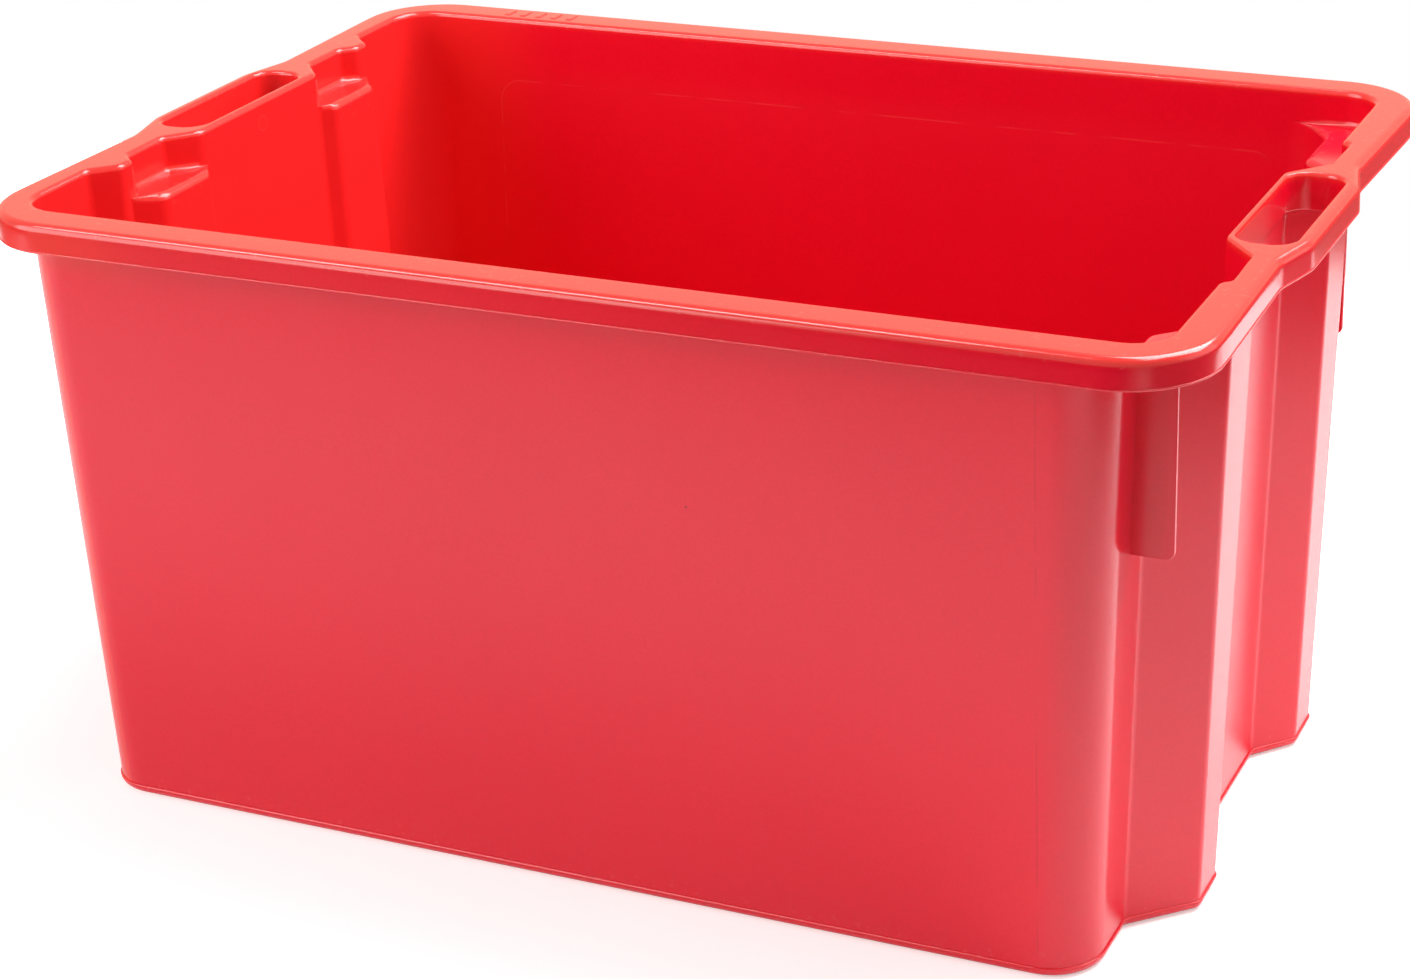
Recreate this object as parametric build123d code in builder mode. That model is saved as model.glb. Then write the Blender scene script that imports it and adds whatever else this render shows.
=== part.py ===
from build123d import *

import os
from collections import namedtuple
from functools import partial
from math import cos, radians, sin, tan

os.makedirs("parts", exist_ok=True)

# Stack-and-nest crate: one thin moulding, described here as the members that meet face to face in it.
# Millimetres. The crate stands on Z = 0, its length runs along X and its front looks towards -Y.
# The right end (+X) has two foot columns. The left end (-X) has ledges where a turned crate's feet stand.

# Overall sizes, over the rim
rim_length = 650.0
rim_width = 460.0
crate_height = 340.0
grip_overhang = 5.0  # how far each hand grip stands out past the rim's end

# Skin thicknesses
wall = 2.6
floor_thickness = 3.0
rim_skin = 2.6
stop_thickness = 3.0

# Draft: every wall leans outwards by this much for each millimetre of height
draft = 0.03

# Overhang of the rim past the walls at their top, and how far each stretch of end wall is set back
side_overhang = 21.3
end_overhang = 14.6  # past the foot columns at the right end and the corner posts at the left end
post_setback = 30.2  # corner posts at the right end
recess_setback = 19.2  # hand recess panels at both ends
step_setback = 13.2  # narrow step between the left corner posts and the ledge columns
ledge_setback = 26.7  # ledge columns at the left end

# Distances from the middle of an end wall, at the floor
foot_outer = 109.2
foot_inner = 79.3
step_offset = 18.3  # inner edge of the left step, outside the place of a foot
step_flat = 4.8

# Plan angles of the slanted stretches of wall
fold_angle = 45.0
recess_angle = 40.0

# Radii of the vertical bends, on the outside of the wall
right_corner_radius = 28.0
left_corner_radius = 26.0
riser_corner_radius = 22.0
fold_radius = 6.0
step_radius = 4.0

# Stacking and nesting
ledge_drop = 20.0  # stacking ledge below the rim's top
stack_clearance = 2.2  # room round a foot that stands on a ledge
nest_pitch = 104.5  # height that each nested crate adds
stop_setback = 2.2  # nest stops, from the reach of the feet
stop_radius = 4.0

# Folded rim
rim_corner_radius = 46.0
skirt_depth = 15.5
rim_edge_radius = 2.2
taper_land = 9.0  # straight end rim between the corner bend and the taper towards the grip
taper_depth = 2.5

# Hand grips
ramp_outer = 78.0  # from the middle of the end to where the rim starts to swell out
ramp_inner = 46.0
ramp_radius = 30.0
strap_width = 8.0
slot_overrun = 4.5  # how far a slot runs past the right recess panel at each end
left_slot_lip = 3.0  # flange between the left slot and its recess panel
slot_radius = 12.0
collar_skin = 2.4
collar_depth = 20.0

base_edge_radius = 2.0
corner_land = 4.0  # straight end of a long wall or rim that belongs to the corner
recess_land = 12.0  # straight edge of the left recess that belongs to the ledge column

# Heights that follow from the sizes above
ledge_height = crate_height - ledge_drop
ledge_underside = ledge_height - wall
rim_underside = crate_height - rim_skin
skirt_bottom = crate_height - skirt_depth
stop_bottom = ledge_height - nest_pitch
rim_end = rim_length / 2
rim_side = rim_width / 2

# Half sizes at the floor, from the crate's middle to the outside of the wall
lean = draft * crate_height
side_reach = rim_side - side_overhang - lean
foot_reach = rim_end - end_overhang - lean
post_reach = foot_reach - post_setback
recess_reach = foot_reach - recess_setback
step_reach = foot_reach - step_setback
ledge_column_reach = foot_reach - ledge_setback
stop_reach = foot_reach - stop_setback

# Places along an end wall that follow from the feet
step_inner = foot_outer + step_offset
left_post_inner = step_inner + step_flat + step_setback / tan(radians(fold_angle))
grip_joint = (foot_outer + foot_inner) / 2  # where the grip meets the corner rim

# A wall face in plan: the angle of its outward normal, a point on it, and the height of that point
WallFace = namedtuple("WallFace", "angle x y level", defaults=[0.0])


def normal(face):
    """Outward normal of a wall face in plan."""
    return cos(radians(face.angle)), sin(radians(face.angle))


def corner(first, second, height, inset=0.0):
    """Where two leaning wall faces cross in plan at a height, or the same for faces moved inwards."""
    ax, ay = normal(first)
    bx, by = normal(second)
    a = ax * first.x + ay * first.y + draft * (height - first.level) - inset
    b = bx * second.x + by * second.y + draft * (height - second.level) - inset
    spread = ax * by - ay * bx
    return (a * by - b * ay) / spread, (ax * b - bx * a) / spread


def inward(point, face, inset):
    """A point moved square off a face, towards the inside of the crate."""
    nx, ny = normal(face)
    return point[0] - nx * inset, point[1] - ny * inset


def between(first, second):
    return (first[0] + second[0]) / 2, (first[1] + second[1]) / 2


# Faces of the front half, from the front wall round to the middle of each end
front = WallFace(-90, 0, -side_reach)
right_post = WallFace(0, post_reach, 0)
foot_slant = WallFace(-fold_angle, foot_reach, -foot_outer)
foot = WallFace(0, foot_reach, 0)
foot_return = WallFace(recess_angle, foot_reach, -foot_inner)
right_recess = WallFace(0, recess_reach, 0)
left_post = WallFace(180, -foot_reach, 0)
post_slant = WallFace(180 - fold_angle, -foot_reach, -left_post_inner)
step = WallFace(180, -step_reach, 0)
column_slant = WallFace(180 - fold_angle, -step_reach, -step_inner)
ledge_column = WallFace(180, -ledge_column_reach, 0)
left_recess = WallFace(180, -recess_reach, 0)


def riser_behind(face, mirrored):
    """The riser that leaves room behind a foot, at ledge height, on the same end or the opposite one."""
    nx, ny = normal(face)
    room = stack_clearance + wall
    x = face.x + nx * room
    y = face.y + ny * room
    if mirrored:
        return WallFace(180 - face.angle, -x, y, ledge_height)
    return WallFace(face.angle, x, y, ledge_height)


right_riser = riser_behind(foot, mirrored=False)
pocket_slant = riser_behind(foot_slant, mirrored=True)
pocket_back = riser_behind(foot, mirrored=True)
pocket_return = riser_behind(foot_return, mirrored=True)
pocket_end = corner(pocket_return, left_recess, ledge_height)
recess_slant = WallFace(180 + recess_angle, *pocket_end, ledge_height)


def right_front_start(height, inset):
    x, y = corner(front, right_post, height)
    return inward((x - right_corner_radius - corner_land, y), front, inset)


def left_front_start(height, inset):
    x, y = corner(front, left_post, height)
    return inward((x + left_corner_radius + corner_land, y), front, inset)


def foot_start(height, inset):
    """On the slanted wall, half way between the riser and the foot column's first corner."""
    first = corner(right_riser, foot_slant, height)
    second = corner(foot_slant, foot, height)
    return inward(between(first, second), foot_slant, inset)


def foot_end(height, inset):
    """Half way along the slanted wall between foot column and hand recess."""
    first = corner(foot, foot_return, height)
    second = corner(foot_return, right_recess, height)
    return inward(between(first, second), foot_return, inset)


def step_middle(height, inset):
    first = corner(post_slant, step, height)
    second = corner(step, column_slant, height)
    return inward(between(first, second), step, inset)


def left_recess_start(height, inset):
    x, y = corner(recess_slant, left_recess, height)
    return inward((x, y + recess_land), left_recess, inset)


def bend(first, second, radius, height, inset, hollow=False):
    """A bend of the wall: its sharp corner, and its radius on the face that is drawn."""
    drawn = radius + inset if hollow else radius - inset
    return corner(first, second, height, inset), drawn


def end_point(point):
    return point, 0.0


# Paths of wall in plan. Each is a list of points with the radius that rounds it.
def right_post_path(height, inset):
    return [
        end_point(right_front_start(height, inset)),
        bend(front, right_post, right_corner_radius, height, inset),
        bend(right_post, foot_slant, fold_radius, height, inset, hollow=True),
        end_point(foot_start(height, inset)),
    ]


def foot_path(height, inset):
    return [
        end_point(foot_start(height, inset)),
        bend(foot_slant, foot, fold_radius, height, inset),
        bend(foot, foot_return, fold_radius, height, inset),
        end_point(foot_end(height, inset)),
    ]


def right_recess_half(height, inset):
    return [
        end_point(foot_end(height, inset)),
        bend(foot_return, right_recess, fold_radius, height, inset, hollow=True),
    ]


def right_riser_path(height, inset):
    return [
        end_point(right_front_start(height, inset)),
        bend(front, right_riser, riser_corner_radius, height, inset),
        end_point(corner(right_riser, foot_slant, height, inset)),
        end_point(foot_start(height, inset)),
    ]


def left_post_path(height, inset):
    return [
        end_point(left_front_start(height, inset)),
        bend(front, left_post, left_corner_radius, height, inset),
        bend(left_post, post_slant, fold_radius, height, inset),
        bend(post_slant, step, step_radius, height, inset, hollow=True),
        end_point(step_middle(height, inset)),
    ]


def ledge_column_path(height, inset):
    return [
        end_point(step_middle(height, inset)),
        bend(step, column_slant, step_radius, height, inset),
        bend(column_slant, ledge_column, fold_radius, height, inset, hollow=True),
        bend(ledge_column, recess_slant, fold_radius, height, inset, hollow=True),
        bend(recess_slant, left_recess, fold_radius, height, inset),
        end_point(left_recess_start(height, inset)),
    ]


def pocket_path(height, inset):
    return [
        end_point(step_middle(height, inset)),
        bend(step, pocket_slant, step_radius, height, inset, hollow=True),
        bend(pocket_slant, pocket_back, fold_radius, height, inset),
        bend(pocket_back, pocket_return, fold_radius, height, inset),
        bend(pocket_return, left_recess, fold_radius, height, inset, hollow=True),
        end_point(left_recess_start(height, inset)),
    ]


def with_mirror_image(path):
    """A path followed by its own mirror image across the middle of the end, taken backwards."""
    return path + [((x, -y), radius) for (x, y), radius in reversed(path)]


def trace(path):
    points = [point for point, radius in path]
    radii = [radius for point, radius in path]
    if len(points) == 2:
        return Line(*points)
    return FilletPolyline(*points, radius=radii[1:-1])


def wall_band(path, low, high):
    """A stretch of leaning wall that follows a path, from one height to another."""
    with BuildPart() as band:
        for height in (low, high):
            with BuildSketch(Plane.XY.offset(height)):
                with BuildLine():
                    outside = trace(path(height, 0.0))
                    inside = trace(path(height, wall))
                    Line(outside @ 0, inside @ 0)
                    Line(outside @ 1, inside @ 1)
                make_face()
        loft(ruled=True)
    return band


def ledge_shelf(upper_path, lower_path):
    """The flat of a stacking ledge, with the riser behind it."""
    with BuildPart() as shelf:
        for height in (ledge_underside, ledge_height):
            with BuildSketch(Plane.XY.offset(height)):
                with BuildLine():
                    behind = trace(upper_path(height, 0.0))
                    nose = trace(lower_path(height, wall))
                    Line(behind @ 0, nose @ 0)
                    Line(behind @ 1, nose @ 1)
                make_face()
        loft(ruled=True)
        for height in (ledge_height, rim_underside):
            with BuildSketch(Plane.XY.offset(height)):
                with BuildLine():
                    outside = trace(upper_path(height, 0.0))
                    inside = trace(upper_path(height, wall))
                    Line(outside @ 0, inside @ 0)
                    Line(outside @ 1, inside @ 1)
                make_face()
        loft(ruled=True)
    return shelf


def other_half(source):
    """The same member on the rear half of the crate."""
    with BuildPart() as twin:
        mirror(source.part, about=Plane.XZ)
    return twin


def long_wall_path(height, inset):
    return [
        end_point(left_front_start(height, inset)),
        end_point(right_front_start(height, inset)),
    ]


def outside_round(height):
    """The whole outside of the crate's foot in plan, taken once round."""
    right = right_post_path(height, 0.0)[1:-1] + foot_path(height, 0.0)[1:-1]
    right = with_mirror_image(right + right_recess_half(height, 0.0)[1:])
    left = left_post_path(height, 0.0)[1:-1] + ledge_column_path(height, 0.0)[1:-1]
    return right + list(reversed(with_mirror_image(left)))


# Floor panel: the walls stand on it
with BuildPart() as floor_panel:
    with BuildSketch():
        with BuildLine():
            floor_round = outside_round(floor_thickness)
            FilletPolyline(
                *[point for point, radius in floor_round],
                radius=[radius for point, radius in floor_round],
                close=True,
            )
        make_face()
    extrude(amount=floor_thickness)
    fillet(floor_panel.faces().sort_by(Axis.Z)[0].edges(), radius=base_edge_radius)

# Long walls
front_wall = wall_band(long_wall_path, floor_thickness, rim_underside)
rear_wall = other_half(front_wall)

# Right end: corner posts set in, foot columns set out, hand recess between them
front_right_post = wall_band(right_post_path, floor_thickness, ledge_underside)
rear_right_post = other_half(front_right_post)
front_foot_column = wall_band(foot_path, floor_thickness, rim_underside)
rear_foot_column = other_half(front_foot_column)
right_recess_panel = wall_band(
    lambda height, inset: with_mirror_image(right_recess_half(height, inset)),
    floor_thickness,
    rim_underside,
)

# Left end: corner posts set out, ledge columns set in, hand recess between them
front_left_post = wall_band(left_post_path, floor_thickness, rim_underside)
rear_left_post = other_half(front_left_post)
front_ledge_column = wall_band(ledge_column_path, floor_thickness, ledge_underside)
rear_ledge_column = other_half(front_ledge_column)
left_recess_panel = wall_band(
    lambda height, inset: with_mirror_image([end_point(left_recess_start(height, inset))]),
    floor_thickness,
    rim_underside,
)

# Stacking ledges, each with its riser
front_right_ledge = ledge_shelf(right_riser_path, right_post_path)
rear_right_ledge = other_half(front_right_ledge)
front_left_ledge = ledge_shelf(pocket_path, ledge_column_path)
rear_left_ledge = other_half(front_left_ledge)


def nest_stop(face, reach, offset):
    """An upright plate that hangs under a ledge, from the wall face out to a reach."""
    side = 1 if reach > 0 else -1
    wall_low = face.x + side * draft * stop_bottom
    wall_high = face.x + side * draft * ledge_underside
    with BuildPart() as plate:
        with BuildSketch(Plane.XZ.offset(offset)):
            with BuildLine():
                FilletPolyline(
                    (wall_low, stop_bottom),
                    (reach, stop_bottom),
                    (reach, ledge_underside),
                    (wall_high, ledge_underside),
                    radius=[0, stop_radius, 0, 0],
                    close=True,
                )
            make_face()
        extrude(amount=stop_thickness / 2, both=True)
    return plate


# Each nest stop stands in the middle of the flat wall behind it
post_flat_outer = corner(front, right_post, stop_bottom)[1] + right_corner_radius
post_flat_inner = corner(right_post, foot_slant, stop_bottom)[1]
column_flat_outer = corner(column_slant, ledge_column, stop_bottom)[1]
column_flat_inner = corner(ledge_column, recess_slant, stop_bottom)[1]
front_right_stop = nest_stop(right_post, stop_reach, -(post_flat_outer + post_flat_inner) / 2)
rear_right_stop = other_half(front_right_stop)
front_left_stop = nest_stop(ledge_column, -stop_reach, -(column_flat_outer + column_flat_inner) / 2)
rear_left_stop = other_half(front_left_stop)

# Rim: a flat flange over the wall tops with a skirt folded down at its outer edge
grip_end = rim_end + grip_overhang
waist_end = rim_end - taper_depth
taper_start = rim_side - rim_corner_radius - taper_land
joint_end = waist_end + taper_depth * (grip_joint - ramp_outer) / (taper_start - ramp_outer)
straight_rim = rim_end - rim_corner_radius - corner_land
rim_inner_side = -corner(front, right_riser, crate_height, wall)[1]
touching = 0.01  # nearer than this, an edge lies on an outline


def rim_corner_edge(side, inset):
    """Outer edge of a corner length of rim, from the long side to the grip."""
    end = side * (rim_end - inset)
    return [
        end_point((side * straight_rim, inset - rim_side)),
        ((end, inset - rim_side), rim_corner_radius - inset),
        end_point((end, -taper_start)),
        end_point((side * (joint_end - inset), -grip_joint)),
    ]


def grip_edge(side, inset):
    """Outer edge of a hand grip, from its front joint to its rear joint."""
    half = [
        end_point((side * (joint_end - inset), -grip_joint)),
        ((side * (waist_end - inset), -ramp_outer), ramp_radius),
        ((side * (grip_end - inset), -ramp_inner), ramp_radius),
    ]
    return with_mirror_image(half)


def long_rim_edge(inset):
    return [
        end_point((-straight_rim, inset - rim_side)),
        end_point((straight_rim, inset - rim_side)),
    ]


def right_corner_inner_edge():
    return [
        end_point((straight_rim, -rim_inner_side)),
        bend(front, right_riser, riser_corner_radius, crate_height, wall),
        end_point(corner(right_riser, foot_slant, crate_height, wall)),
        bend(foot_slant, foot, fold_radius, crate_height, wall),
        end_point((corner(foot, foot_return, crate_height, wall)[0], -grip_joint)),
    ]


def left_corner_inner_edge():
    return [
        end_point((-straight_rim, -rim_inner_side)),
        bend(front, left_post, left_corner_radius, crate_height, wall),
        bend(left_post, post_slant, fold_radius, crate_height, wall),
        bend(post_slant, step, step_radius, crate_height, wall, hollow=True),
        bend(step, pocket_slant, step_radius, crate_height, wall, hollow=True),
        bend(pocket_slant, pocket_back, fold_radius, crate_height, wall),
        end_point((corner(pocket_back, pocket_return, crate_height, wall)[0], -grip_joint)),
    ]


def right_grip_inner_edge():
    half = [
        end_point((corner(foot, foot_return, crate_height, wall)[0], -grip_joint)),
        bend(foot, foot_return, fold_radius, crate_height, wall),
        bend(foot_return, right_recess, fold_radius, crate_height, wall, hollow=True),
    ]
    return with_mirror_image(half)


def left_grip_inner_edge():
    half = [
        end_point((corner(pocket_back, pocket_return, crate_height, wall)[0], -grip_joint)),
        bend(pocket_back, pocket_return, fold_radius, crate_height, wall),
        bend(pocket_return, left_recess, fold_radius, crate_height, wall, hollow=True),
    ]
    return with_mirror_image(half)


def folded_rim(outer_edge, inner_edge):
    """A length of rim: the flange between two edges, the skirt under the outer one, a rounded top edge."""
    with BuildPart() as rim:
        with BuildSketch(Plane.XY.offset(rim_underside)):
            with BuildLine():
                outside = trace(outer_edge(0.0))
                inside = trace(inner_edge)
                Line(outside @ 0, inside @ 0)
                Line(outside @ 1, inside @ 1)
            make_face()
        extrude(amount=rim_skin)
        with BuildSketch(Plane.XY.offset(skirt_bottom)):
            with BuildLine():
                skirt_outside = trace(outer_edge(0.0))
                skirt_inside = trace(outer_edge(rim_skin))
                Line(skirt_outside @ 0, skirt_inside @ 0)
                Line(skirt_outside @ 1, skirt_inside @ 1)
            make_face()
        extrude(amount=skirt_depth - rim_skin)
        outline = outside.moved(Location((0, 0, crate_height)))
        top_edges = rim.edges().group_by(Axis.Z)[-1]
        fillet(
            top_edges.filter_by(lambda edge: outline.distance_to(edge @ 0.5) < touching),
            radius=rim_edge_radius,
        )
    return rim


def hand_grip(side, inner_edge, slot_inner):
    """A grip: rim pierced by a hand slot, with a collar hanging round the slot's outer side and ends."""
    slot_outer = grip_end - strap_width
    slot_middle = side * (slot_inner + slot_outer) / 2
    slot_width = slot_outer - slot_inner
    collar_length = 2 * (slot_half + collar_skin)
    rim = folded_rim(partial(grip_edge, side), inner_edge)
    with BuildPart() as grip:
        add(rim.part)
        with BuildSketch(Plane.XY.offset(crate_height - collar_depth)):
            with Locations((slot_middle, 0)):
                RectangleRounded(slot_width + 2 * collar_skin, collar_length, slot_radius + collar_skin)
            with Locations((slot_middle - side * (slot_width + collar_skin - slot_radius) / 2, 0)):
                Rectangle(collar_skin + slot_radius, collar_length, mode=Mode.SUBTRACT)
        extrude(amount=collar_depth - rim_skin)
        with BuildSketch(Plane.XY.offset(crate_height - collar_depth)):
            with Locations((slot_middle, 0)):
                RectangleRounded(slot_width, 2 * slot_half, slot_radius)
        extrude(amount=collar_depth, mode=Mode.SUBTRACT)
    return grip


front_rim = folded_rim(
    long_rim_edge,
    [end_point((-straight_rim, -rim_inner_side)), end_point((straight_rim, -rim_inner_side))],
)
rear_rim = other_half(front_rim)
front_right_rim = folded_rim(partial(rim_corner_edge, 1), right_corner_inner_edge())
rear_right_rim = other_half(front_right_rim)
front_left_rim = folded_rim(partial(rim_corner_edge, -1), left_corner_inner_edge())
rear_left_rim = other_half(front_left_rim)

# The right slot lies flush with the outside of its recess panel
recess_top, recess_corner = corner(right_recess, foot_return, crate_height)
slot_half = slot_overrun - recess_corner
right_grip = hand_grip(1, right_grip_inner_edge(), recess_top)
left_grip = hand_grip(-1, left_grip_inner_edge(), recess_top + left_slot_lip)

nodes = {
    "floor_panel": floor_panel,
    "front_wall": front_wall,
    "rear_wall": rear_wall,
    "front_right_post": front_right_post,
    "rear_right_post": rear_right_post,
    "front_foot_column": front_foot_column,
    "rear_foot_column": rear_foot_column,
    "right_recess_panel": right_recess_panel,
    "front_left_post": front_left_post,
    "rear_left_post": rear_left_post,
    "front_ledge_column": front_ledge_column,
    "rear_ledge_column": rear_ledge_column,
    "left_recess_panel": left_recess_panel,
    "front_right_ledge": front_right_ledge,
    "rear_right_ledge": rear_right_ledge,
    "front_left_ledge": front_left_ledge,
    "rear_left_ledge": rear_left_ledge,
    "front_right_stop": front_right_stop,
    "rear_right_stop": rear_right_stop,
    "front_left_stop": front_left_stop,
    "rear_left_stop": rear_left_stop,
    "front_rim": front_rim,
    "rear_rim": rear_rim,
    "front_right_rim": front_right_rim,
    "rear_right_rim": rear_right_rim,
    "front_left_rim": front_left_rim,
    "rear_left_rim": rear_left_rim,
    "right_grip": right_grip,
    "left_grip": left_grip,
}
for name, node in nodes.items():
    node.part.label = name
    export_step(node.part, f"parts/{name}.step")
    print(name, round(node.part.volume / 1000, 1), "cm3", len(node.part.solids()), "solid")
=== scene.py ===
# %% [markdown]
# # A stack-and-nest harvest crate
#
# The crate is one injection moulding in red plastic: a thin skin of even thickness that runs up the
# outside, over the rim and down the inside. The CAD model divides it into members that meet face to face.
# Here the same moulding is drawn as one unbroken skin with rounded edges, because a photograph shows
# no joints in it, and the light on its rounded edges is most of what the eye sees.
#
# The packed CAD model is loaded first. It is the fixed frame: metres, Z up, the front towards -Y.

# %% Load the frame
from collections import namedtuple

import bpy
import numpy as np
from mathutils import Matrix, Vector
from mathutils.geometry import delaunay_2d_cdt


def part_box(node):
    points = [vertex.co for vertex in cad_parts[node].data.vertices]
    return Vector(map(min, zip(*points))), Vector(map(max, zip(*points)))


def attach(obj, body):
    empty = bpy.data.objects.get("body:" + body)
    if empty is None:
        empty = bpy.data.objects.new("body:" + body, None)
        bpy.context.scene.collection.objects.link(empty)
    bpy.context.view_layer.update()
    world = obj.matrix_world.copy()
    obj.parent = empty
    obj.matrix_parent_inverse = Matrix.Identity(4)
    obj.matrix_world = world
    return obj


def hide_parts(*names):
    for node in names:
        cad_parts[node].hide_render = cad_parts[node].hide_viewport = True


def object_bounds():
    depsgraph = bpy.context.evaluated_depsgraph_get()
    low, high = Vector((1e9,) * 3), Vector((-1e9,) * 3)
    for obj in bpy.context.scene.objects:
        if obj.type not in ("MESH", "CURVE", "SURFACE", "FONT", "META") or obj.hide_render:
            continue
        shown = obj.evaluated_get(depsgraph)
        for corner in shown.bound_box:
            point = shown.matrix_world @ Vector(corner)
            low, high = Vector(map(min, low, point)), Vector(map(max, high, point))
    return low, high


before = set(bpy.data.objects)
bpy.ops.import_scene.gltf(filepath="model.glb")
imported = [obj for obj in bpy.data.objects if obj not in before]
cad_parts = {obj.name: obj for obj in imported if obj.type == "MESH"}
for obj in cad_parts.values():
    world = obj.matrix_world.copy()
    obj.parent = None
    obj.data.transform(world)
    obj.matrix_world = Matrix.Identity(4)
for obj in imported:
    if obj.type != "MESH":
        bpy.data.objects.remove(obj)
cad_box = [list(corner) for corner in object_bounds()]
print("CAD box", np.round(cad_box, 4).tolist(), "and", len(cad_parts), "members")

# %% [markdown]
# ## Sizes
#
# The overall sizes are read from the frame, so the skin follows the CAD model. The set-backs between the
# stretches of end wall are the drawing's own, in metres. Every wall leans outwards by the same draft, so a
# crate slides out of its mould and into the next crate.

# %% Sizes of the crate
draft = 0.03
wall = 0.0026
floor_top = 0.003
rim_skin = 0.0026

rim_top = cad_box[1][2]
rim_side = cad_box[1][1]
grip_end = cad_box[1][0]
rim_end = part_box("front_right_rim")[1].x
skirt_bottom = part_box("front_rim")[0].z
ledge_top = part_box("front_right_post")[1].z + wall
ledge_bottom = ledge_top - wall
flange_bottom = rim_top - rim_skin

post_set_back = 0.0302
recess_set_back = 0.0192
step_set_back = 0.0132
column_set_back = 0.0267
step_from_foot = 0.0183
step_flat = 0.0048
stack_gap = 0.0022

foot_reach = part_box("floor_panel")[1].x - draft * floor_top
side_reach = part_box("floor_panel")[1].y - draft * floor_top
post_reach = foot_reach - post_set_back
recess_reach = foot_reach - recess_set_back
step_reach = foot_reach - step_set_back
column_reach = foot_reach - column_set_back

foot_outer = 0.1092
foot_inner = 0.0793
step_inner = foot_outer + step_from_foot
post_inner = step_inner + step_flat + step_set_back
stack_room = stack_gap + wall  # from a standing foot to the outside of the riser behind it
print("rim", 2 * rim_end, "by", 2 * rim_side, "height", rim_top, "ledges at", round(ledge_top, 4))

# %% [markdown]
# ## Faces and bends
#
# Seen from above, a wall is a row of flat stretches joined by round bends. A flat is known by the angle of
# its outward normal and its reach, the distance from the crate's middle to it. One could draw the outline
# point by point, but then nothing would move together. With faces, a skin at another height or on the other
# side of the wall is the same list with every reach changed a little.

# %% Flat faces
Face = namedtuple("Face", "angle reach level")


def face(angle, x, y=0.0, level=0.0):
    """A flat through (x, y): its reach is the point's distance along the outward normal, at one level."""
    turn = np.radians(angle)
    return Face(turn, np.cos(turn) * x + np.sin(turn) * y, level)


def pushed_out(flat, room, level):
    """The face that leaves some room outside another face, drawn at one level."""
    return Face(flat.angle, flat.reach + room, level)


def opposite(flat):
    """The same face at the other end of the crate: its normal is reflected in the Y axis."""
    return Face(np.pi - flat.angle, flat.reach, flat.level)


def crossing(first, second, height):
    """Where two leaning faces cross in plan at a height: two equations, normal . point = reach."""
    normals = np.array([[np.cos(f.angle), np.sin(f.angle)] for f in (first, second)])
    return np.linalg.solve(normals, [f.reach + draft * (height - f.level) for f in (first, second)])


front = face(-90, 0.0, -side_reach)
right_post = face(0, post_reach)
foot_slant = face(-45, foot_reach, -foot_outer)
foot = face(0, foot_reach)
foot_return = face(40, foot_reach, -foot_inner)
right_recess = face(0, recess_reach)
left_post = face(180, -foot_reach)
post_slant = face(135, -foot_reach, -post_inner)
step = face(180, -step_reach)
column_slant = face(135, -step_reach, -step_inner)
ledge_column = face(180, -column_reach)
left_recess = face(180, -recess_reach)
right_riser = pushed_out(foot, stack_room, ledge_top)
pocket_slant = opposite(pushed_out(foot_slant, stack_room, ledge_top))
pocket_back = opposite(pushed_out(foot, stack_room, ledge_top))
pocket_return = opposite(pushed_out(foot_return, stack_room, ledge_top))
recess_slant = face(220, *crossing(pocket_return, left_recess, ledge_top), ledge_top)
print("left pocket ends at", np.round(crossing(pocket_return, left_recess, ledge_top), 4))

# %% [markdown]
# A bend joins two faces with a circle. The circle's centre is where the two faces cross after both have
# moved in by the radius, and a point on it is the centre plus the radius along a normal that turns from the
# one face's angle to the other's. A bend to the left is round on the outside, and one to the right is
# hollow there, so its radius counts as negative. A mark is a bend of which only one end is used: it puts a
# point on a flat, where another bend would have started.

# %% Bends and outlines
Bend = namedtuple("Bend", "name first second radius shares")


def arc(name, first, second, radius, count=7):
    return Bend(name, first, second, radius, np.linspace(0.0, 1.0, count))


def mark(name, first, second, radius, share):
    return Bend(name, first, second, radius, np.array([share]))


def turned_back(bend):
    """The same bend taken the other way."""
    return Bend(bend.name, bend.second, bend.first, bend.radius, 1.0 - bend.shares[::-1])


def rear(bend):
    """The bend's mirror image on the rear half."""
    first, second = (Face(-f.angle, f.reach, f.level) for f in (bend.first, bend.second))
    return Bend("rear_" + bend.name, first, second, bend.radius, bend.shares)


def all_round(right, left):
    """A closed outline, anticlockwise, from the front halves of the right and the left end."""
    right_rear = [turned_back(rear(bend)) for bend in reversed(right)]
    left_front = [turned_back(bend) for bend in reversed(left)]
    return right + right_rear + [rear(bend) for bend in left] + left_front


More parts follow.
